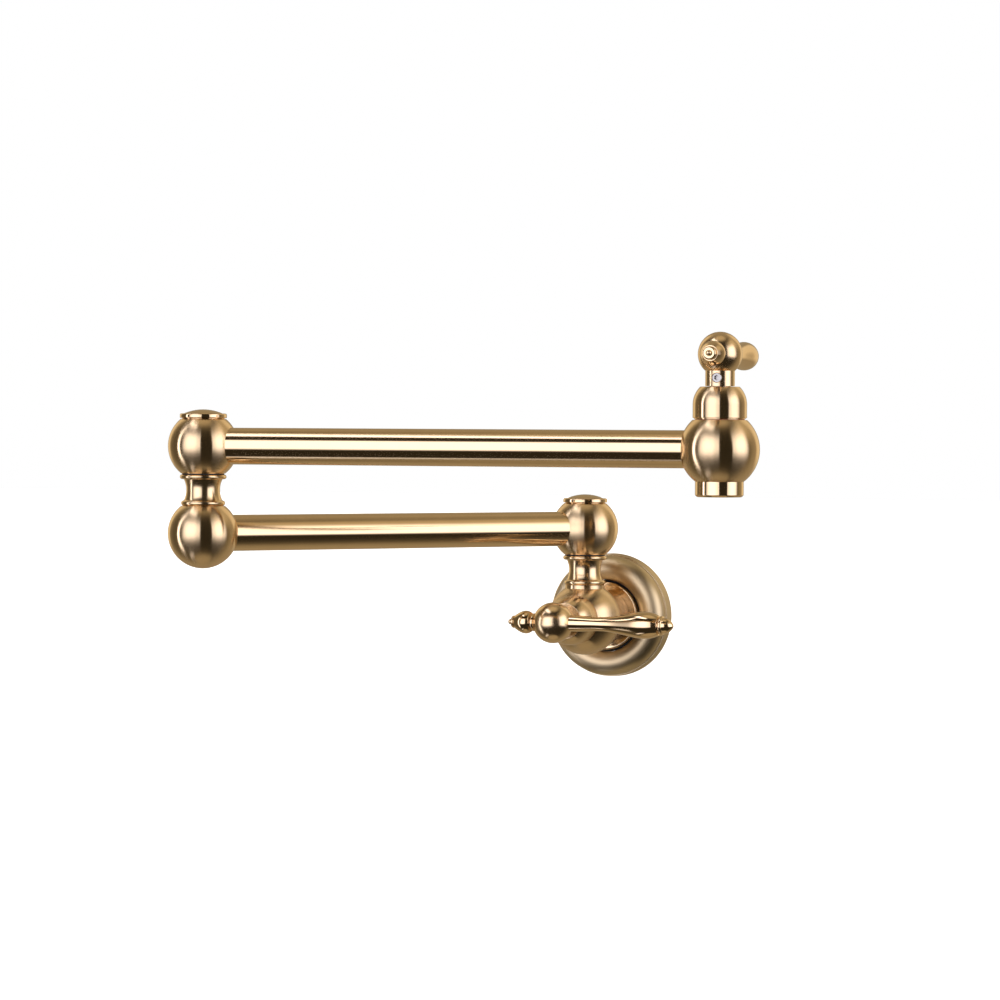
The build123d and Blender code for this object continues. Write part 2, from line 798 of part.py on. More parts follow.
def cap():
    """The flat cap: thin overhanging rim, shallow dome and a skirt in the ball."""
    rim_top = cap_face + cap_rim
    rim = bar(cap_r, cap_face, rim_top)
    rim = fillet(rim.edges().filter_by(GeomType.CIRCLE), cap_edge)
    dome_r = cap_r - cap_edge
    dome_curve_r = (dome_r**2 + cap_dome**2) / (2 * cap_dome)
    dome_mid_r = dome_r / 2
    dome_mid = rim_top + cap_dome - dome_curve_r + sqrt(dome_curve_r**2 - dome_mid_r**2)
    dome = lathe(
        Line((0, rim_top), (dome_r, rim_top)),
        ThreePointArc((dome_r, rim_top), (dome_mid_r, dome_mid), (0, rim_top + cap_dome)),
        Line((0, rim_top + cap_dome), (0, rim_top)),
    )
    skirt_r = nut_room_r - thread_gap
    skirt = ring(skirt_r, skirt_r - cap_skirt_wall, cap_face - cap_skirt_depth, cap_face)
    return rim + dome + skirt


def arm_tube(start, end):
    """A tube along +X."""
    return along_x(ring(tube_r, tube_bore_r, start, end))


# ---------------------------------------------------------------- spout


spout_low = -spout_face - spout_length
cage_low = spout_low + spout_lip
cage_r = spout_bore_r - solder_gap
cage_top = cage_low + cage_length


def aerator_housing():
    """The spout's collar with its threaded tenon."""
    outer = bar(spout_r, spout_low, -spout_face)
    outer = chamfer(outer.edges().group_by(Axis.Z)[0], spout_chamfer)
    body = outer + bar(spout_tenon_r, -spout_face, spout_tenon_length - spout_face)
    body -= bar(spout_bore_r, cage_low, spout_tenon_length - spout_face + cut)
    return body - bar(spout_lip_r, spout_low - cut, cage_low + cut)


def aerator_cage():
    """A cup with a drilled floor that breaks the jet."""
    cage = bar(cage_r, cage_low, cage_top)
    cage -= bar(cage_r - cage_wall, cage_low + cage_floor, cage_top + cut)
    spacing = (spout_lip_r - 2 * cage_hole_r) / cage_rows
    hole = bar(cage_hole_r, cage_low - cut, cage_low + cage_floor + cut)
    for place in hole_rows(spacing, cage_rows):
        cage -= place * hole
    return cage


def aerator_screen():
    """The drilled disc on top of the cage."""
    screen = bar(cage_r, cage_top, cage_top + screen_thick)
    spacing = (cage_r - cage_wall - 2 * screen_hole_r) / (cage_rows + 1)
    hole = bar(screen_hole_r, cage_top - cut, cage_top + screen_thick + cut)
    for place in hole_rows(spacing, cage_rows + 1):
        screen -= place * hole
    return screen


def aerator_washer():
    low = cage_top + screen_thick
    return ring(cage_r, aerator_washer_inner_r, low, low + aerator_washer_thick)


# ---------------------------------------------------------------- the assembly


def add(name, shape, place):
    pieces[name] = place * shape


def add_headwork(prefix, place):
    """The headwork, bonnet and handle, the same at the wall and at the outlet."""
    add(prefix + "_bonnet", bonnet(), place)
    add(prefix + "_cartridge_housing", cartridge_housing(), place)
    add(prefix + "_head_gasket", head_gasket(), place)
    add(prefix + "_fixed_disc", fixed_disc(), place)
    add(prefix + "_moving_disc", moving_disc(), place)
    add(prefix + "_seat_seal", seat_seal(), place)
    add(prefix + "_spindle", spindle(), place)
    add(prefix + "_spindle_o_ring", spindle_o_ring(), place)
    add(prefix + "_spindle_clip", spindle_clip(), place)
    add(prefix + "_handle_hub", handle_hub(), place)
    add(prefix + "_lever", lever(), place)
    add(prefix + "_finial", finial(), place)
    add(prefix + "_grub_screw", grub_screw(), place)


def add_swivel(prefix, neck_place, ball_name, ball_place):
    """A neck with its seals and retaining parts, and the capped ball that turns on it."""
    add(prefix + "_neck", spool_neck(), neck_place)
    add(prefix + "_neck_seal", neck_seal(), neck_place)
    add(prefix + "_thrust_washer", thrust_washer(), neck_place)
    add(prefix + "_o_rings", swivel_o_rings(), neck_place)
    add(prefix + "_retaining_washer", retaining_washer(), neck_place)
    add(prefix + "_retaining_nut", retaining_nut(), neck_place)
    add(ball_name, swivel_ball(), ball_place)
    add(prefix + "_cap", cap(), ball_place)


add("wall_flange", wall_flange(), wall)
add("flange_gasket", flange_gasket(), wall)
add("flange_o_ring", flange_o_ring(), wall)
add("shank_collar", shank_collar(), wall)
add("inlet_nipple", inlet_nipple(), wall)
add("inlet_washer", inlet_washer(), wall)
add("valve_body", valve_body(), wall_valve)
add_headwork("wall", wall_valve)

add_swivel("post", Pos(0, -post_out, arm_1_height), "post_ball", post)
add("arm_1_tube", arm_tube(tube_seat, arm_1_length - tube_seat), post)
add("elbow_lower_ball", elbow_ball(), elbow_low)

add_swivel("elbow", elbow_neck_at, "elbow_upper_ball", elbow_high)
add("arm_2_tube", arm_tube(tube_seat, arm_2_length - valve_tube_seat), elbow_high)

add("outlet_body", outlet_body(), outlet_valve)
add_headwork("outlet", outlet_valve)
add("aerator_housing", aerator_housing(), outlet_valve)
add("aerator_cage", aerator_cage(), outlet_valve)
add("aerator_screen", aerator_screen(), outlet_valve)
add("aerator_washer", aerator_washer(), outlet_valve)

os.makedirs("parts", exist_ok=True)
for name, shape in pieces.items():
    export_step(shape, f"parts/{name}.step")
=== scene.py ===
import json
from math import atan2, cos, pi, radians, sin, sqrt

import bpy
from mathutils import Matrix, Vector


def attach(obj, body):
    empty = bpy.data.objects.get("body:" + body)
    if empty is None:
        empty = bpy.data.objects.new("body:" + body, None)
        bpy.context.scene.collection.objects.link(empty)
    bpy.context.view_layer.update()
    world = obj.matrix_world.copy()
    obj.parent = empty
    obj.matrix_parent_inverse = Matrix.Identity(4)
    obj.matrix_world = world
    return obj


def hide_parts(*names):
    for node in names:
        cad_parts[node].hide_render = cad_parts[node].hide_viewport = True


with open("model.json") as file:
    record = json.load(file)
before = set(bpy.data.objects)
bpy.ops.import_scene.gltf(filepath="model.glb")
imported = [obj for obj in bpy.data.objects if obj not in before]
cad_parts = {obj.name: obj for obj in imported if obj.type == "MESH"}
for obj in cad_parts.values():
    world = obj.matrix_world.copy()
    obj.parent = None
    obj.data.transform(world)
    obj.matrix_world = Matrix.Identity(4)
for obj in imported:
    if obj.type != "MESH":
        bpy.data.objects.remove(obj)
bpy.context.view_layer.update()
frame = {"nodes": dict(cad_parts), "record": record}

# A wall mounted pot filler in brushed and polished champagne gold. Lengths are in millimetres
# and are turned into metres by MM. The frame is the solids' own: the wall is the plane y = 0,
# the tap stands out towards -Y and +X runs to the right along the wall.

MM = 0.001
scene = bpy.context.scene
nodes = frame["nodes"]

# ---------------------------------------------------------------- sizes shared by the pieces
#
# The arms' headings are in degrees from +X, as they are at rest.

post_out = 46.0
arm_1_length = 234.0
arm_2_length = 275.0
arm_1_height = 49.84
arm_2_height = 95.22
arm_1_heading = 233.0
arm_2_heading = 5.5
tube_r = 9.5
tube_wall = 1.2
tube_seat = 11.5
valve_tube_seat = 12.5
hub_rise = 47.4

elbow_x = arm_1_length * cos(radians(arm_1_heading))
elbow_y = arm_1_length * sin(radians(arm_1_heading)) - post_out
outlet_x = elbow_x + arm_2_length * cos(radians(arm_2_heading))
outlet_y = elbow_y + arm_2_length * sin(radians(arm_2_heading))


# ---------------------------------------------------------------- places


def at(x, y, z, heading=0.0):
    """A place with its X towards that heading, in degrees from +X."""
    return Matrix.Translation(Vector((x, y, z)) * MM) @ Matrix.Rotation(radians(heading), 4, "Z")


def up(height):
    """A shift along Z."""
    return Matrix.Translation((0, 0, height * MM))


own_frame = Matrix.Identity(4)
along_x = Matrix.Rotation(radians(90), 4, "Y")
against_x = Matrix.Rotation(radians(-90), 4, "Y")
wall = Matrix.Rotation(radians(90), 4, "X")
wall_valve = wall @ up(post_out)
upright_post = at(0, -post_out, arm_1_height)
post = at(0, -post_out, arm_1_height, arm_1_heading)
elbow_low = post @ Matrix.Translation((arm_1_length * MM, 0, 0))
elbow_high = at(elbow_x, elbow_y, arm_2_height, arm_2_heading)
outlet_valve = at(outlet_x, outlet_y, arm_2_height, 90 + arm_2_heading)

# ---------------------------------------------------------------- camera


def add_camera():
    """The photo's camera. The distances that it clips at are in metres."""
    turn, tip, roll = radians(22.4), radians(-1.2), radians(0.3)
    place = Vector((694.5, -1854.8, 106.0)) * MM
    level = Vector((cos(turn), sin(turn), 0))
    ahead = Vector((-sin(turn) * cos(tip), cos(turn) * cos(tip), sin(tip)))
    over = level.cross(ahead)
    right = cos(roll) * level + sin(roll) * over
    upward = cos(roll) * over - sin(roll) * level
    data = bpy.data.cameras.new("camera")
    data.lens = 126
    data.sensor_width = 36
    data.clip_start = 0.05
    data.clip_end = 100
    camera = bpy.data.objects.new("camera", data)
    scene.collection.objects.link(camera)
    turned_to = Matrix((right, upward, -ahead)).transposed().to_4x4()
    camera.matrix_world = Matrix.Translation(place) @ turned_to
    scene.camera = camera


add_camera()

# ---------------------------------------------------------------- shader helpers


def node(tree, kind, *inputs, **settings):
    """Add a shader node. Its inputs come in order: a socket is linked and a value is set."""
    made = tree.nodes.new(kind)
    for key, value in settings.items():
        setattr(made, key, value)
    for socket, value in zip(made.inputs, inputs):
        if isinstance(value, bpy.types.NodeSocket):
            tree.links.new(value, socket)
        elif value is not None:
            socket.default_value = value
    return made


def maths(tree, operation, *inputs):
    """What an operation makes of values."""
    return node(tree, "ShaderNodeMath", *inputs, operation=operation).outputs[0]


def vector_maths(tree, operation, *inputs):
    """What an operation makes of vectors: a value for a length or a dot product, or else a vector."""
    made = node(tree, "ShaderNodeVectorMath", *inputs, operation=operation)
    return made.outputs["Value" if operation in ("LENGTH", "DOT_PRODUCT") else "Vector"]


def fit(tree, value, low, high, to_low, to_high, kind="LINEAR"):
    """Carry a value from one range into another."""
    ranges = (low, high, to_low, to_high)
    return node(tree, "ShaderNodeMapRange", value, *ranges, interpolation_type=kind).outputs[0]


def noise(tree, place, scale, detail=2.0, roughness=0.5, along=None):
    """Noise over a place, with a fourth coordinate where one is given."""
    made = node(tree, "ShaderNodeTexNoise", noise_dimensions="3D" if along is None else "4D")
    tree.links.new(place, made.inputs["Vector"])
    if along is not None:
        tree.links.new(along, made.inputs["W"])
    made.inputs["Scale"].default_value = scale
    made.inputs["Detail"].default_value = detail
    made.inputs["Roughness"].default_value = roughness
    return made.outputs["Fac"]


def new_material(name, **settings):
    """A material and its shader, with what is the same all over set on the shader itself."""
    material = bpy.data.materials.new(name)
    material.use_nodes = True
    shader = material.node_tree.nodes["Principled BSDF"]
    for key, value in settings.items():
        shader.inputs[key.replace("_", " ")].default_value = value
    return material, material.node_tree, shader


def own_place(tree):
    """Where the shaded point is, in the piece's own frame."""
    return node(tree, "ShaderNodeTexCoord").outputs["Object"]


def shade(colour, factor):
    """The same colour, lighter or darker."""
    return tuple(channel * factor for channel in colour)


def tint(tree, shader, pattern, low, high, first, second):
    """Colour the shader from the first tone to the second as the pattern rises from low to high."""
    amount = fit(tree, pattern, low, high, 0, 1)
    mix = node(tree, "ShaderNodeMix", data_type="RGBA")
    tree.links.new(amount, mix.inputs["Factor"])
    mix.inputs["A"].default_value = (*first, 1)
    mix.inputs["B"].default_value = (*second, 1)
    tree.links.new(mix.outputs["Result"], shader.inputs["Base Color"])


def roughen(tree, shader, pattern, low, high, smoothest, roughest):
    """Make the shader rougher as the pattern rises from low to high."""
    tree.links.new(fit(tree, pattern, low, high, smoothest, roughest), shader.inputs["Roughness"])


def emboss(tree, shader, pattern, strength, depth):
    """Let the pattern stand out of the surface by that depth."""
    made = node(tree, "ShaderNodeBump")
    made.inputs["Strength"].default_value = strength
    made.inputs["Distance"].default_value = depth * MM
    tree.links.new(pattern, made.inputs["Height"])
    tree.links.new(made.outputs["Normal"], shader.inputs["Normal"])


# ---------------------------------------------------------------- materials

lines_per_metre = 4000


def turned_metal(name, colour, roughness, stretch, line_depth, place):
    """Metal with fine lines round the Z of a place, as turning and buffing leave them.

    The shine is drawn out across the lines. A faint uneven gloss and tone lie over all.
    """
    quarter_turn, round_stretch, spot_share = 0.25, 3, 0.25
    material, tree, shader = new_material(
        name, Metallic=1.0, Anisotropic=stretch, Anisotropic_Rotation=quarter_turn
    )
    centre, turn = place.to_translation(), place.to_euler()
    seen = own_place(tree)
    local = node(tree, "ShaderNodeMapping", seen, centre, turn, vector_type="TEXTURE").outputs[0]
    flat = vector_maths(tree, "MULTIPLY", local, (1, 1, 0))
    radius = vector_maths(tree, "LENGTH", flat)
    outward = vector_maths(tree, "NORMALIZE", flat)
    height = vector_maths(tree, "MULTIPLY", local, (0, 0, lines_per_metre))
    slow = vector_maths(tree, "MULTIPLY_ADD", outward, (round_stretch, round_stretch, 0), height)
    ringed = maths(tree, "MULTIPLY", radius, lines_per_metre)
    lines = noise(tree, slow, scale=1.0, detail=3.0, roughness=0.6, along=ringed)
    cloud = noise(tree, local, scale=60.0, detail=3.0, roughness=0.55)
    spots = noise(tree, local, scale=900.0, detail=2.0, roughness=0.6)
    worn = maths(tree, "ADD", lines, cloud)
    roughen(tree, shader, worn, 0.7, 1.3, roughness * 0.94, roughness * 1.06)
    tint(tree, shader, cloud, 0.3, 0.7, shade(colour, 0.965), shade(colour, 1.03))
    ridges = maths(tree, "MULTIPLY_ADD", spots, spot_share, lines)
    emboss(tree, shader, ridges, 0.5, line_depth)
    round_it = vector_maths(tree, "CROSS_PRODUCT", (0, 0, 1), flat)
    turned_back = node(tree, "ShaderNodeMapping", round_it, (0, 0, 0), turn, vector_type="VECTOR")
    tangent = node(
        tree,
        "ShaderNodeVectorTransform",
        turned_back.outputs[0],
        vector_type="VECTOR",
        convert_from="OBJECT",
        convert_to="WORLD",
    )
    tree.links.new(tangent.outputs[0], shader.inputs["Tangent"])
    return material


# Each finish has its colour, its roughness, how far the shine is drawn out and the lines' depth.

gold = (0.83, 0.62, 0.38)
# A darker, greyer copy of the gold: painted shade for the wall flange.
painted_shade_gold = (0.68, 0.54, 0.34)
raw_gold = (0.78, 0.60, 0.30)
steel_grey = (0.43, 0.42, 0.41)
finishes = {
    "satin_brass": (gold, 0.2, 1.0, 0.0001),
    # The flange's finish is truly rougher, and its gold is darker than the rest's as painted shade.
    "soft_brass_painted_shade": (painted_shade_gold, 0.37, 0.6, 0.0001),
    "drawn_brass": (gold, 0.14, 1.0, 0.0001),
    "buffed_brass": (gold, 0.2, 0.4, 0.0001),
    "polished_brass": (gold, 0.1, 0.5, 0.0001),
    "plain_brass": (raw_gold, 0.3, 0.6, 0.004),
    "steel": (steel_grey, 0.3, 0.6, 0.003),
}
made_metals = {}


def metal(finish, place_name="piece", place=own_frame):
    """The metal with that finish, with its lines round that place's Z."""
    key = f"{finish}_{place_name}"
    if key not in made_metals:
        made_metals[key] = turned_metal(key, *finishes[finish], place)
    return made_metals[key]


def rubber():
    """Black moulded rubber with a fine grain and a dusty bloom."""
    black, dusty = (0.016, 0.016, 0.017), (0.05, 0.049, 0.047)
    material, tree, shader = new_material("rubber", Specular_IOR_Level=0.35)
    seen = own_place(tree)
    bloom = noise(tree, seen, scale=250.0, detail=4.0)
    grain = noise(tree, seen, scale=4000.0)
    tint(tree, shader, bloom, 0.3, 0.75, black, dusty)
    roughen(tree, shader, bloom, 0.3, 0.7, 0.5, 0.72)
    emboss(tree, shader, grain, 0.6, 0.02)
    return material


def plastic(name, colour, roughness, shine):
    """Moulded plastic with a slight sheen and tiny flow marks."""
    material, tree, shader = new_material(name, Specular_IOR_Level=shine)
    seen = own_place(tree)
    flow = noise(tree, seen, scale=300.0, detail=3.0)
    grain = noise(tree, seen, scale=2500.0)
    tint(tree, shader, flow, 0.3, 0.7, shade(colour, 0.9), shade(colour, 1.08))
    roughen(tree, shader, flow, 0.3, 0.7, roughness * 0.85, roughness * 1.2)
    emboss(tree, shader, grain, 0.4, 0.015)
    return material


def fibre():
    """Pressed red fibre, matted and flecked."""
    dark_red, pale_red = (0.30, 0.075, 0.045), (0.55, 0.21, 0.13)
    fleck_scale, fleck_share = 1500.0, 0.4
    material, tree, shader = new_material("fibre", Roughness=0.85, Specular_IOR_Level=0.25)
    seen = own_place(tree)
    pressed = vector_maths(tree, "MULTIPLY", seen, (1, 1, 5))
    strands = noise(tree, pressed, scale=1200.0, detail=5.0, roughness=0.7)
    flecks = node(tree, "ShaderNodeTexVoronoi", seen, None, fleck_scale).outputs["Distance"]
    tint(tree, shader, strands, 0.35, 0.7, dark_red, pale_red)
    felted = maths(tree, "MULTIPLY_ADD", flecks, fleck_share, strands)
    emboss(tree, shader, felted, 0.7, 0.05)
    return material


def ceramic():
    """Lapped white alumina, a little speckled."""
    cream, white = (0.74, 0.73, 0.69), (0.86, 0.855, 0.83)
    material, tree, shader = new_material("ceramic", Specular_IOR_Level=0.7)
    seen = own_place(tree)
    speckle = noise(tree, seen, scale=3500.0, detail=3.0, roughness=0.7)
    tint(tree, shader, speckle, 0.35, 0.7, cream, white)
    roughen(tree, shader, speckle, 0.3, 0.7, 0.1, 0.22)
    return material


soft_finishes = {
    "rubber": rubber(),
    "black_plastic": plastic("black_plastic", (0.02, 0.02, 0.02), 0.55, 0.25),
    "white_plastic": plastic("white_plastic", (0.76, 0.76, 0.73), 0.4, 0.5),
    "fibre": fibre(),
    "ceramic": ceramic(),
}


def finish_of(name, slot):
    """How the piece is worked: the slot's own finish, or a softer or harder polish of it. The flange's
    softer polish also has a darker gold, which is painted shade.
    """
    if name.endswith(("_hub", "_neck")):
        return "buffed_brass"
    if name.endswith("_tube"):
        return "drawn_brass"
    # The flange gets the rougher finish with the darker gold, which is painted shade.
    return "soft_brass_painted_shade" if name == "wall_flange" else slot


def place_of(name):
    """The name and the place whose Z the node was turned about."""
    if name.startswith("wall_") or name == "valve_body":
        return "wall", wall_valve
    if name.startswith(("outlet_", "aerator_")):
        return "outlet", outlet_valve
    if name.startswith("post_"):
        return "post", post
    if name == "elbow_lower_ball":
        return "elbow_low", elbow_low
    return "elbow_high", elbow_high


record_slots = {part["node"]: part["material_slot"] for part in frame["record"]["subparts"]}
for name, piece in nodes.items():
    slot = record_slots[name]
    piece.data.materials.clear()
    piece.data.materials.append(soft_finishes.get(slot) or metal(finish_of(name, slot), *place_of(name)))


# ---------------------------------------------------------------- outlines
#
# A span of an outline is a list of (point, direction) pairs, and a point is (radius, height).
# An outline runs outwards below, up the outside and inwards on top. A number between two
# spans is the size of the rounded edge there.
#
# Spans that meet more sharply than smooth_joint have their corner rounded in corner_steps,
# which takes up no more than longest_cut of either. A point nearer than axis_r is on the axis.

smooth_joint = radians(15)
corner_steps = 5
longest_cut = 0.45
axis_r = 1e-6


def straight(*points):
    """A span between each two points in turn."""
    ends = [Vector(point) for point in points]
    return [[(a, (b - a).normalized()), (b, (b - a).normalized())] for a, b in zip(ends, ends[1:])]


def arc(start, middle, end, steps=24):
    """A round span through three points."""
    start, middle, end = Vector(start), Vector(middle), Vector(end)
    one, two = middle - start, end - start
    side = 2 * (one.x * two.y - one.y * two.x)
    across = Vector((two.y, -two.x)) * one.length_squared + Vector((-one.y, one.x)) * two.length_squared
    centre = start + across / side
    first, last = start - centre, end - centre
    way = 1 if side > 0 else -1
    sweep = way * ((way * (atan2(last.y, last.x) - atan2(first.y, first.x))) % (2 * pi))
    span = []
    for step in range(steps + 1):
        spoke = Matrix.Rotation(sweep * step / steps, 2) @ first
        span.append((centre + spoke, Vector((-spoke.y, spoke.x)).normalized() * way))
    return [span]


def curve(points, leaving, arriving, steps=12, rounds=60):
    """A span that runs smoothly through the points, with no jump in how sharply it bends.

    How it passes each point settles in a number of rounds.
    """
    points = [Vector(point) for point in points]
    lengths = [(b - a).length for a, b in zip(points, points[1:])]
    slopes = [(b - a) / length for (a, b), length in zip(zip(points, points[1:]), lengths)]
    rates = [Vector(leaving).normalized()] + slopes[1:] + [Vector(arriving).normalized()]
    for _ in range(rounds):
        for i in range(1, len(points) - 1):
            before, after = 1 / lengths[i - 1], 1 / lengths[i]
            pull = 3 * (slopes[i - 1] * before + slopes[i] * after)
            rates[i] = (pull - rates[i - 1] * before - rates[i + 1] * after) / (2 * (before + after))
    span = [(points[0], rates[0].normalized())]
    for i, length in enumerate(lengths):
        a, b = points[i], points[i + 1]
        u, v = rates[i] * length, rates[i + 1] * length
        for step in range(1, steps + 1):
            t = step / steps
            point = a + u * t + (3 * (b - a) - 2 * u - v) * t**2 + (2 * (a - b) + u + v) * t**3
            way = u + 2 * (3 * (b - a) - 2 * u - v) * t + 3 * (2 * (a - b) + u + v) * t**2
            span.append((point, way.normalized()))
    return [span]


def soften(outline, edge, closed):
    """Join the spans into one list of (point, direction) pairs and round each corner off."""
    spans, edges = [], []
    for item in outline:
        if isinstance(item, float):
            edges[-1] = item
        else:
            spans += [list(span) for span in item]
            edges += [edge] * len(item)
    first_lengths = [(span[1][0] - span[0][0]).length for span in spans]
    last_lengths = [(span[-1][0] - span[-2][0]).length for span in spans]
    rounded = [[] for _ in spans]
    for i in range(len(spans) if closed else len(spans) - 1):
        j = (i + 1) % len(spans)
        corner, arriving = spans[i][-1]
        leaving = spans[j][0][1]
        if arriving.angle(leaving) < smooth_joint:
            spans[i].pop()
            continue
        reach = min(edges[i], longest_cut * last_lengths[i], longest_cut * first_lengths[j])
        start, end = corner - reach * arriving, corner + reach * leaving
        spans[i][-1] = (start, arriving)
        spans[j][0] = (end, leaving)
        for step in range(1, corner_steps):
            t = step / corner_steps
            way = (1 - t) * (corner - start) + t * (end - corner)
            rounded[i].append((start.lerp(corner, t).lerp(corner.lerp(end, t), t), way.normalized()))
    return [pair for span, corner in zip(spans, rounded) for pair in span + corner]


def bead(radius, low, high, start_r=None, end_r=None):
    """The round rim of a disc. It may start or end further out, where a core covers it."""
    half, middle = (high - low) / 2, (low + high) / 2
    start = (start_r or radius - half, low)
    end = (end_r or radius - half, high)
    return arc(start, (radius, middle), end, steps=16)


# ---------------------------------------------------------------- turned pieces


def turned(name, stands_for, outline, place, body, edge=0.2, closed=True, sides=144, form=None):
    """Turn an outline about Z and put it in place of its node.

    A form changes the radius round the piece, from the angle, radius and height. Such a piece
    is shaded by its faces' angles, and the others by the outline's own directions.
    """
    angles = [2 * pi * k / sides for k in range(sides)]
    points, normals, rings = [], [], []
    for (radius, height), way in soften(outline, edge, closed):
        on_axis = radius < axis_r
        start = len(points)
        rings.append([start] * sides if on_axis else list(range(start, start + sides)))
        outward = 0 if on_axis else way.y
        for angle in angles[: 1 if on_axis else sides]:
            r = form(angle, radius, height) if form else radius
            points.append(Vector((r * cos(angle), r * sin(angle), height)) * MM)
            normals.append(Vector((outward * cos(angle), outward * sin(angle), -way.x)))
    pairs = list(zip(rings, rings[1:]))
    if closed:
        pairs.append((rings[-1], rings[0]))
    faces = []
    for low, high in pairs:
        for k in range(sides):
            turn = (k + 1) % sides
            face = [low[k], low[turn], high[turn], high[k]]
            faces.append([corner for i, corner in enumerate(face) if corner != face[i - 1]])
    mesh = bpy.data.meshes.new(name)
    mesh.from_pydata(points, [], faces)
    mesh.shade_smooth()
    if form:
        mesh.set_sharp_from_angle(angle=radians(32))
    else:
        mesh.normals_split_custom_set_from_vertices(normals)
    slot = record_slots[stands_for]
    mesh.materials.append(metal(finish_of(stands_for, slot)))
    piece = bpy.data.objects.new(name, mesh)
    scene.collection.objects.link(piece)
    piece.matrix_world = place
    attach(piece, body)
    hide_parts(stands_for)
    return piece


def flange_outline():
    """A hollow half-round on a shallow band, with a lip round its hole and a groove behind."""
    foot_r, band_r, rim_r, hole_r, wall_thick = 34.8, 34.4, 33.7, 20.3, 1.6
    band, straight_top, lip_low, foot_depth, foot_width = 7.0, 9.05, 6.2, 3.5, 4
    groove_in, groove_out, groove_depth = 31.8, 33.8, 1.2
    past_hole, band_edge, lip_edge = 1.1, 0.25, 0.3
    foot_in = foot_r - foot_width
    section_r = (rim_r - hole_r + past_hole) / 2
    centre_r = rim_r - section_r
    inner_section = section_r - wall_thick
    hole_top = straight_top + sqrt(section_r**2 - (centre_r - hole_r) ** 2)
    lip_r = hole_r + wall_thick
    lip_top = straight_top + sqrt(inner_section**2 - (centre_r - lip_r) ** 2)
    hollow_r = centre_r + inner_section
    return [
        straight((foot_in, 0), (groove_in, 0), (groove_in, groove_depth), (groove_out, groove_depth)),
        straight((groove_out, groove_depth), (groove_out, 0), (foot_r, 0), (band_r, band)),
        band_edge,
        straight((band_r, band), (rim_r, band), (rim_r, straight_top)),
        arc((rim_r, straight_top), (centre_r, straight_top + section_r), (hole_r, hole_top), steps=48),
        lip_edge,
        straight((hole_r, hole_top), (hole_r, lip_low), (lip_r, lip_low), (lip_r, lip_top)),
        arc((lip_r, lip_top), (centre_r, straight_top + inner_section), (hollow_r, straight_top), steps=32),
        straight((hollow_r, straight_top), (hollow_r, foot_depth), (foot_in, foot_depth), (foot_in, 0)),
    ]


def collar_outline():
    """The ring on the shank, with its O-ring's groove, and in front a round rim and a step."""
    outer_r, groove_r, tail_r, shank_r, rim_r = 19.1, 18.3, 12.04, 14.53, 16.7
    back, groove_back, groove_front, step, face, front = 3.7, 7.9, 10.1, 13.0, 13.6, 14.3
    rim_edge, step_edge = 1.1, 0.4
    return [
        straight((tail_r, back), (outer_r, back), (outer_r, groove_back), (groove_r, groove_back)),
        straight((groove_r, groove_back), (groove_r, groove_front), (outer_r, groove_front)),
        straight((outer_r, groove_front), (outer_r, front)),
        rim_edge,
        straight((outer_r, front), (rim_r, front)),
        step_edge,
        straight((rim_r, front), (rim_r, face), (shank_r, face)),
        straight((shank_r, face), (shank_r, step), (tail_r, step), (tail_r, back)),
    ]


def bonnet_outline():
    """The dome with its hollow and the bore that screws down on the headwork, over a thin shadow line."""
    base, skirt_r, hollow_r, straight_top = 15.056, 13.5, 12.7, 22.3
    shadow_depth, shadow_height, foot_edge, top_edge = 0.75, 0.5, 0.35, 0.55
    top, top_r, bore_r, hollow_top, neck_start = 31.2, 9.8, 6.84, 21.0, 23.98
    foot_r, foot = skirt_r - shadow_depth, base + shadow_height
    rise, fall = top - straight_top, skirt_r - top_r
    curve_r = (rise**2 + fall**2) / (2 * fall)
    middle = (skirt_r - curve_r + sqrt(curve_r**2 - (rise / 2) ** 2), straight_top + rise / 2)
    return [
        straight((hollow_r, base), (foot_r, base), (foot_r, foot), (skirt_r, foot)),
        foot_edge,
        straight((skirt_r, foot), (skirt_r, straight_top)),
        arc((skirt_r, straight_top), middle, (top_r, top)),
        top_edge,
        straight((top_r, top), (bore_r, top), (bore_r, neck_start)),
        straight((bore_r, neck_start), (hollow_r, hollow_top), (hollow_r, base)),
    ]


def lever_outline():
    """A waisted bar that swells to a bulb, then a bead and a small cone, with its stud."""
    face, stud_r, stud_end, bulb_end, core_r = 10.2, 2.96, 5.24, 60.8, 4.3
    bead_r, bead_start, bead_end, bead_edge = 5.3, 61.3, 63.5, 0.1
    cone_start, cone_middle, nose_r, nose_length, tip = 63.7, (3.4, 66.4), 1.5, 0.6, 69.0
    nose_start, nose_middle = tip - nose_length, (nose_r * 0.55, tip - 0.17)
    body = [(4.4, face), (4.35, 15), (3.8, 28), (4.3, 34), (5.25, 39.4), (6.3, 44.6)]
    body += [(7.2, 50.4), (7.2, 54), (6.6, 57.6), (bead_r, bulb_end)]
    return [
        straight((0, stud_end), (stud_r, stud_end), (stud_r, face), body[0]),
        curve(body, (0, 1), (-0.5, 1), steps=8),
        straight(body[-1], (core_r, bulb_end), (core_r, bead_start)),
        bead_edge,
        bead(bead_r, bead_start, bead_end, core_r, core_r),
        bead_edge,
        straight((core_r, bead_end), (core_r, cone_start)),
        arc((core_r, cone_start), cone_middle, (nose_r, nose_start), steps=16),
        arc((nose_r, nose_start), nose_middle, (0, tip), steps=8),
    ]


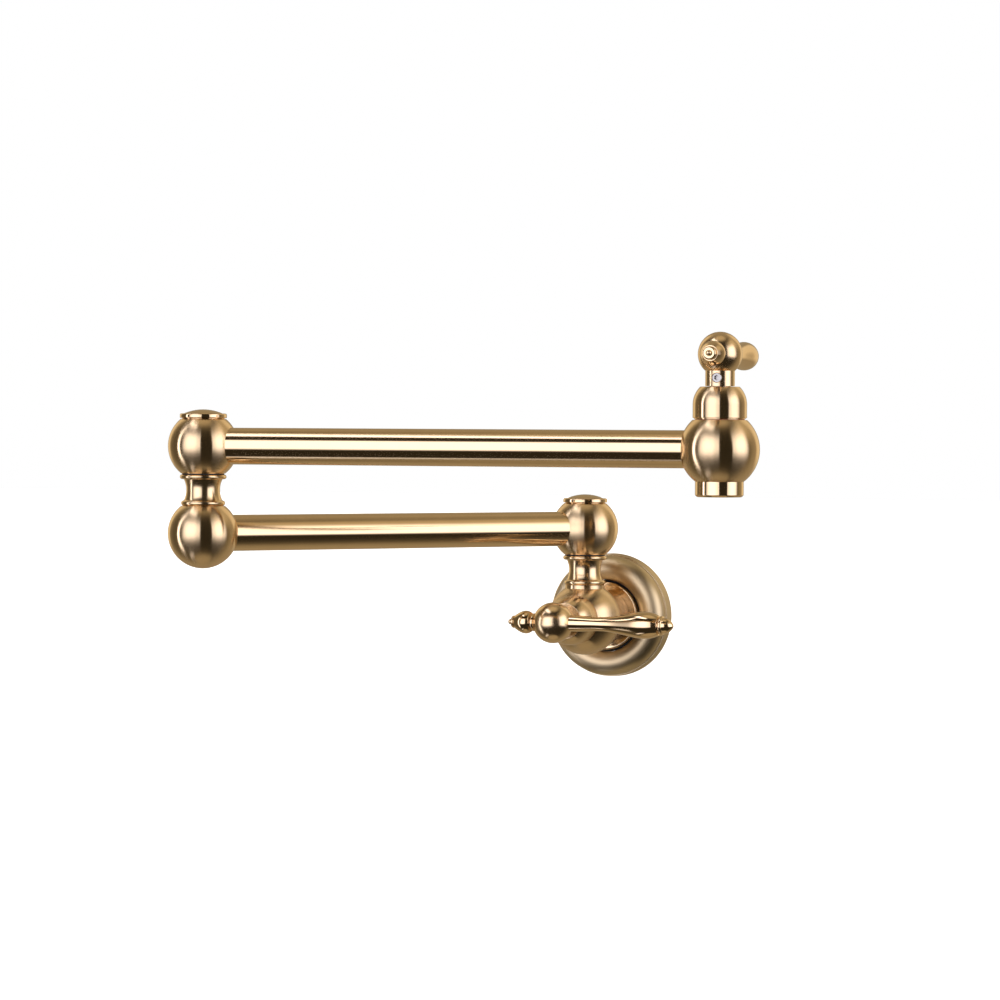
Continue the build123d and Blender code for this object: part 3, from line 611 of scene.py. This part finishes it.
def finial_outline():
    """Collar, acorn, bead and nose, with the stud that screws into the hub."""
    face, stud_r, stud_end, groove = 9.9, 1.96, 5.44, 0.45
    collar_r, collar_in, collar_end, neck_r = 4.9, 3.7, 12.3, 4.2
    acorn_r, acorn_end, core_r, core_edge = 3.9, 21.6, 2.9, 0.1
    bead_r, bead_flat, bead_end, nose_r, tip = 3.4, 2.475, 23.9, 1.5, 26.2
    acorn = [(5.2, collar_end + groove), (6.25, 15.6), (acorn_r, acorn_end)]
    bead_start = acorn_end + groove
    nose_start = sqrt(nose_r**2 - (tip - nose_r - bead_end) ** 2)
    slant = nose_r * sqrt(0.5)
    return [
        straight((0, stud_end), (stud_r, stud_end), (stud_r, face), (collar_in, face)),
        bead(collar_r, face, collar_end, collar_in, neck_r),
        straight((neck_r, collar_end), (neck_r, acorn[0][1]), acorn[0]),
        curve(acorn, (0.9, 1), (-0.6, 1), steps=16),
        straight(acorn[-1], (core_r, acorn_end), (core_r, bead_start)),
        core_edge,
        bead(bead_r, bead_start, bead_end, core_r),
        straight((bead_flat, bead_end), (nose_start, bead_end)),
        arc((nose_start, bead_end), (slant, tip - nose_r + slant), (0, tip), steps=16),
    ]


def neck_outline():
    """Tenon, foot bead, waist and ring, then the spigot that the ball turns on."""
    ring_top, ring_thick, waist_length, foot_thick, tenon = -14.836, 2.4, 11.0, 2.9, 6.6
    tenon_r, bore_r, bore_top, foot_r, foot_flat, waist_r = 8.0, 4.5, 3.2, 11.5, 10.05, 8.75
    ring_r, ring_flat, foot_edge, ring_edge = 12.1, 10.9, 0.08, 0.15
    spigot_r, spigot_top, stud_r, stud, groove_r, water_r = 7.95, 9.2, 4.0, 4.2, 6.5, 6.4
    low_groove, water_way, high_groove = (-11.5, -9.3), (-5.5, 4.5), (5.9, 8.1)
    ring_under = ring_top - ring_thick
    foot_top = ring_under - waist_length
    base = foot_top - foot_thick
    tenon_end = base - tenon
    waist_middle = (waist_r, (foot_top + ring_under) / 2)
    stud_top = spigot_top + stud
    spigot = [(ring_flat, ring_top), (spigot_r, ring_top)]
    for inner_r, (low, high) in ((groove_r, low_groove), (water_r, water_way), (groove_r, high_groove)):
        spigot += [(spigot_r, low), (inner_r, low), (inner_r, high), (spigot_r, high)]
    spigot += [(spigot_r, spigot_top), (stud_r, spigot_top), (stud_r, stud_top), (0, stud_top)]
    return [
        straight((0, bore_top), (bore_r, bore_top), (bore_r, tenon_end), (tenon_r, tenon_end)),
        straight((tenon_r, tenon_end), (tenon_r, base), (foot_flat, base)),
        bead(foot_r, base, foot_top),
        foot_edge,
        arc((foot_flat, foot_top), waist_middle, (foot_flat, ring_under), steps=32),
        ring_edge,
        straight((foot_flat, ring_under), (ring_flat, ring_under)),
        bead(ring_r, ring_under, ring_top),
        straight(*spigot),
    ]


def cap_outline():
    """A shallow dome set in from a thick round rim, a groove under the rim, and a skirt in the ball."""
    face, rim_r, groove, rim, top = 14.071, 12.2, 0.4, 2.4, 4.9
    skirt_r, skirt_in, skirt_low = 9.36, 8.56, 11.671
    groove_depth, dome_set_in, rim_edge, dome_edge = 1.2, 2.2, 1.0, 0.1
    rim_low, rim_top = face + groove, face + groove + rim
    groove_r, dome_r = rim_r - groove_depth, rim_r - dome_set_in
    dome = face + top - rim_top
    dome_curve = (dome_r**2 + dome**2) / (2 * dome)
    half_way = (dome_r / 2, face + top - dome_curve + sqrt(dome_curve**2 - dome_r**2 / 4))
    return [
        straight((0, face), (skirt_in, face), (skirt_in, skirt_low), (skirt_r, skirt_low)),
        straight((skirt_r, skirt_low), (skirt_r, face), (groove_r, face), (groove_r, rim_low)),
        straight((groove_r, rim_low), (rim_r, rim_low)),
        rim_edge,
        straight((rim_r, rim_low), (rim_r, rim_top)),
        rim_edge,
        straight((rim_r, rim_top), (dome_r, rim_top)),
        dome_edge,
        arc((dome_r, rim_top), half_way, (0, face + top), steps=32),
    ]


def tube_outline(start, end):
    """An arm's tube between two distances from the ball that it comes from."""
    inner = tube_r - tube_wall
    return [straight((inner, start), (tube_r, start), (tube_r, end), (inner, end), (inner, start))]


def spout_outline():
    """The spout's collar: a chamfered sleeve with a lip below and its tenon above."""
    outer_r, tenon_r, bore_r, lip_r, chamfer, top_edge = 12.1, 9.9, 8.9, 8.4, 1.0, 0.12
    low, lip, sleeve, tenon = -23.625, 1.2, 7.7, 3.0
    top = low + sleeve
    tenon_top = top + tenon
    return [
        straight((lip_r, low), (outer_r - chamfer, low), (outer_r, low + chamfer), (outer_r, top)),
        top_edge,
        straight((outer_r, top), (tenon_r, top), (tenon_r, tenon_top), (bore_r, tenon_top)),
        straight((bore_r, tenon_top), (bore_r, low + lip), (lip_r, low + lip), (lip_r, low)),
    ]


# The inlet's thread and hexagon, which its outline and its form share.

thread_r = 10.48
thread_pitch = 1.814
thread_depth = 1.16
inlet_start = -18.0
hex_flats = 22.0
hex_low = 0.4
hex_high = 3.4


def inlet_outline():
    """The nipple: a chamfered thread, a hexagon, the tail in the shank, and the bore."""
    bore_r, chamfer, tail_r, tail_end, steps_a_turn = 7.5, 1.0, 10.2, 15.8, 18
    corner_r = hex_flats / 2 / cos(radians(30))
    bevel_r, bevel_low, bevel_high = corner_r - 0.7, hex_low + 0.4, hex_high - 0.4
    steps = steps_a_turn * int((hex_low - inlet_start) / thread_pitch)
    rise = hex_low - inlet_start - chamfer
    thread = [(thread_r, inlet_start + chamfer + rise * i / steps) for i in range(steps + 1)]
    return [
        straight((bore_r, inlet_start), (thread_r - chamfer, inlet_start), *thread),
        straight((thread_r, hex_low), (bevel_r, hex_low), (corner_r, bevel_low), (corner_r, bevel_high)),
        straight((corner_r, bevel_high), (bevel_r, hex_high), (tail_r, hex_high), (tail_r, tail_end)),
        straight((tail_r, tail_end), (bore_r, tail_end), (bore_r, inlet_start)),
    ]


def inlet_form(angle, radius, height):
    """The hexagon's flats and the thread's ridges, which fade out below the hexagon."""
    if hex_low < height < hex_high and radius > thread_r:
        folded = (angle + pi / 6) % (pi / 3) - pi / 6
        return min(radius, hex_flats / 2 / cos(folded))
    if height < hex_low and radius > thread_r - thread_depth:
        ridge = (1 - cos(2 * pi * height / thread_pitch - angle)) / 2
        fade = min(1, (hex_low - height) / thread_pitch)
        return min(radius, thread_r - thread_depth * ridge * fade)
    return radius


turned("flange_ring", "wall_flange", flange_outline(), wall, "wall_side")
turned("collar_ring", "shank_collar", collar_outline(), wall, "wall_side", 0.15)
turned("inlet_thread_piece", "inlet_nipple", inlet_outline(), wall, "wall_side", 0.1, form=inlet_form)
turned("post_neck_spool", "post_neck", neck_outline(), upright_post, "wall_side", closed=False)
turned("elbow_neck_spool", "elbow_neck", neck_outline(), elbow_high, "arm_1", closed=False)
turned("post_cap_dome", "post_cap", cap_outline(), post, "arm_1", closed=False)
turned("elbow_cap_dome", "elbow_cap", cap_outline(), elbow_high, "arm_2", closed=False)
arm_1_pipe = tube_outline(tube_seat, arm_1_length - tube_seat)
turned("arm_1_pipe", "arm_1_tube", arm_1_pipe, post @ along_x, "arm_1", sides=192)
arm_2_pipe = tube_outline(tube_seat, arm_2_length - valve_tube_seat)
turned("arm_2_pipe", "arm_2_tube", arm_2_pipe, elbow_high @ along_x, "arm_2", sides=192)
turned("spout_sleeve", "aerator_housing", spout_outline(), outlet_valve, "arm_2")
for side, valve, still, handle in (
    ("wall", wall_valve, "wall_side", "wall_handle"),
    ("outlet", outlet_valve, "arm_2", "outlet_handle"),
):
    hub = valve @ up(hub_rise)
    turned(side + "_dome", side + "_bonnet", bonnet_outline(), valve, still)
    turned(side + "_lever_bar", side + "_lever", lever_outline(), hub @ along_x, handle, closed=False)
    turned(side + "_acorn", side + "_finial", finial_outline(), hub @ against_x, handle, 0.12, closed=False)

# ---------------------------------------------------------------- light
#
# The light is in the world's background, and the floor below gives a little. The softboxes
# are white and the glows have the walls' colour. Each is given by the directions of its
# edges, seen from the tap, in degrees: its two sides, to the right of the camera's side, and
# its foot and top. Then come how soft the sides, the foot and the top are, and its brightness.

camera_side = -67.6
softboxes = {
    "left_panel": (-66, -5, -14, 35, 8, 1.5, 5, 4, 1.4),
    "left_core": (-54, -19, -17, 36, 10, 10, 6, 6, 0.68),
    "right_panel": (35, 86, -11, 34, 1.5, 8, 5, 14, 1.4),
    "right_core": (46, 76, -14, 32, 9, 10, 6, 12, 0.68),
    "left_strip": (-88, -80, -40, 55, 2, 2, 10, 10, 3.0),
    "top_strip": (-105, -35, 59, 68, 10, 10, 2.5, 2.5, 3.0),
    "low_strip": (-95, -55, -66, -60, 12, 12, 1.5, 1.5, 1.2),
}
warm_glows = {
    "right_glow": (50, 112, 22, 56, 25, 25, 14, 8, 0.55),
    "rear_right_glow": (128, 158, -12, 46, 6, 6, 8, 10, 0.5),
    "rear_left_glow": (-160, -134, -12, 46, 6, 6, 8, 10, 0.5),
}
warm_wall = (1.0, 0.82, 0.53)
panel_white = (1.0, 0.98, 1.07)


def between(tree, value, low, high, low_soft, high_soft):
    """One between two angles and nothing outside them, with soft ends."""
    rise = fit(tree, value, radians(low - low_soft), radians(low + low_soft), 0, 1, "SMOOTHSTEP")
    fall = fit(tree, value, radians(high - high_soft), radians(high + high_soft), 1, 0, "SMOOTHSTEP")
    return maths(tree, "MULTIPLY", rise, fall)


def lit(tree, round_angle, up_angle, boxes):
    """The light of all the boxes together, at that angle round and up."""
    glow = 0.0
    for start, end, foot, top, start_soft, end_soft, foot_soft, top_soft, brightness in boxes.values():
        wide = between(tree, round_angle, start, end, start_soft, end_soft)
        tall = between(tree, up_angle, foot, top, foot_soft, top_soft)
        shape = maths(tree, "MULTIPLY", wide, tall)
        glow = maths(tree, "MULTIPLY_ADD", shape, brightness, glow)
    return glow


def wall_light(tree, toward, round_angle, up_angle):
    """The dim light of the walls, ceiling and ground. It fades towards the camera and in a corner."""
    back, front, back_light, front_light, corner_light = -0.6, 0.35, 0.36, 0.03, 0.45
    ceiling_start, ceiling_full, ceiling_light = radians(60), radians(80), 0.6
    ground_full, ground_end, ground_light = radians(-74), radians(-66), 0.4
    walls = fit(tree, toward, back, front, back_light, front_light, "SMOOTHSTEP")
    corner = between(tree, round_angle, -132, -96, 16, 10)
    open_room = fit(tree, corner, 0, 1, 1, corner_light)
    walls = maths(tree, "MULTIPLY", walls, open_room)
    ceiling = fit(tree, up_angle, ceiling_start, ceiling_full, 0, ceiling_light, "SMOOTHSTEP")
    ground = fit(tree, up_angle, ground_full, ground_end, ground_light, 0, "SMOOTHSTEP")
    walls_and_ceiling = maths(tree, "MAXIMUM", walls, ceiling)
    return maths(tree, "MAXIMUM", walls_and_ceiling, ground)


def studio_room():
    """White where the camera looks past the tap. In reflections, a dim warm room with softboxes."""
    world = bpy.data.worlds.new("studio")
    scene.world = world
    world.use_nodes = True
    tree = world.node_tree
    tree.nodes.clear()
    way = node(tree, "ShaderNodeTexCoord").outputs["Generated"]
    front = (cos(radians(camera_side)), sin(radians(camera_side)), 0)
    right = (-sin(radians(camera_side)), cos(radians(camera_side)), 0)
    toward = vector_maths(tree, "DOT_PRODUCT", way, front)
    across = vector_maths(tree, "DOT_PRODUCT", way, right)
    height = vector_maths(tree, "DOT_PRODUCT", way, (0, 0, 1))
    round_angle = maths(tree, "ARCTAN2", across, toward)
    up_angle = maths(tree, "ARCSINE", height)
    dim = wall_light(tree, toward, round_angle, up_angle)
    glows = lit(tree, round_angle, up_angle, warm_glows)
    warm_light = maths(tree, "ADD", dim, glows)
    walls = node(tree, "ShaderNodeBackground", (*warm_wall, 1), warm_light).outputs[0]
    white_light = lit(tree, round_angle, up_angle, softboxes)
    boxes = node(tree, "ShaderNodeBackground", (*panel_white, 1), white_light).outputs[0]
    room = node(tree, "ShaderNodeAddShader", walls, boxes).outputs[0]
    white = node(tree, "ShaderNodeBackground", (1, 1, 1, 1), 1.0).outputs[0]
    seen = node(tree, "ShaderNodeLightPath").outputs["Is Camera Ray"]
    mixed = node(tree, "ShaderNodeMixShader", seen, room, white).outputs[0]
    node(tree, "ShaderNodeOutputWorld", mixed)


studio_room()
scene.view_settings.view_transform = "Standard"
scene.view_settings.look = "None"

# ---------------------------------------------------------------- floor


def add_floor():
    """A pale floor well below the tap, in metres. It can't be seen from underneath."""
    half, height = 20, -0.36
    corners = [(-half, -half, 0), (half, -half, 0), (half, half, 0), (-half, half, 0)]
    mesh = bpy.data.meshes.new("floor")
    mesh.from_pydata(corners, [], [(0, 1, 2, 3)])
    floor = bpy.data.objects.new("floor", mesh)
    scene.collection.objects.link(floor)
    floor.location.z = height
    material, tree, shader = new_material(
        "pale_floor",
        Base_Color=(0.85, 0.85, 0.85, 1),
        Roughness=0.9,
        Emission_Color=(1, 1, 1, 1),
        Emission_Strength=1.0,
    )
    under = node(tree, "ShaderNodeNewGeometry").outputs["Backfacing"]
    clear = node(tree, "ShaderNodeBsdfTransparent").outputs[0]
    both = node(tree, "ShaderNodeMixShader", under, shader.outputs[0], clear).outputs[0]
    tree.links.new(both, tree.nodes["Material Output"].inputs["Surface"])
    mesh.materials.append(material)
    floor.visible_glossy = False


add_floor()
